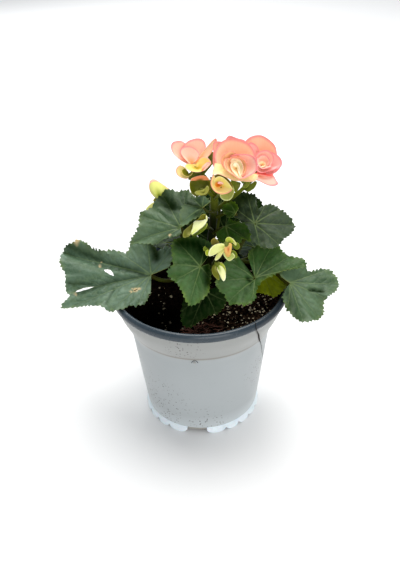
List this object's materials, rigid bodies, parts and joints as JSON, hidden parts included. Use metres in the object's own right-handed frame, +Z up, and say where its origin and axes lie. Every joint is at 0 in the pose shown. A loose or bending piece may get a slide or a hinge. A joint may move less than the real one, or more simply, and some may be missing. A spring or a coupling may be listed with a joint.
{
  "type": "potted begonia",
  "caption": "Young double-flowered begonia with peach rose-shaped blooms, buds and toothed lobed leaves, standing in a tapered nursery pot with a dark rolled rim.",
  "frame": {"origin": "on the pot's axis where its feet stand", "axes": "+Z up the pot's axis, -Y towards the side that the picture shows, +X to that side's right"},
  "size_m": [0.2039, 0.1302, 0.228],
  "materials": {
    "pot_plastic": "pale grey moulded plastic with a dark blue-grey rim, slightly glossy",
    "soil": "crumbly dark compost with perlite",
    "stem": "smooth fleshy stem",
    "leaf": "dark green, waxy sheen, paler veins",
    "leaf_olive": "olive, matt",
    "petal": "peach-pink, soft satin, paler towards the base",
    "bud": "pale yellow-green with cream and pink edges"
  },
  "bodies": {
    "root": {"pot": "pot_plastic", "soil": "soil", "stems": "stem", "leaf_left_large": "leaf", "leaf_left_upper": "leaf", "leaf_front_small": "leaf", "leaf_front_centre": "leaf", "leaf_right_centre": "leaf", "leaf_right_outer": "leaf", "leaf_right_under": "leaf_olive", "leaf_right_upper": "leaf", "leaf_small_inner": "leaf", "leaf_middle_dark": "leaf", "leaf_low_front": "leaf", "leaf_right_back": "leaf", "leaf_back_left": "leaf", "leaf_back_middle": "leaf", "leaf_back_right": "leaf", "leaf_back_far_right": "leaf", "leaf_behind_upper": "leaf", "leaf_behind_lower": "leaf", "leaf_behind_left": "leaf", "bloom_left": "petal", "bloom_centre": "petal", "bloom_right": "petal", "bud_left_low": "bud", "bud_left": "bud", "bud_centre": "bud", "bud_far_left": "bud", "bud_front_large": "bud", "bud_front_open": "bud", "bud_front_drop": "bud"}
  },
  "joints": []
}
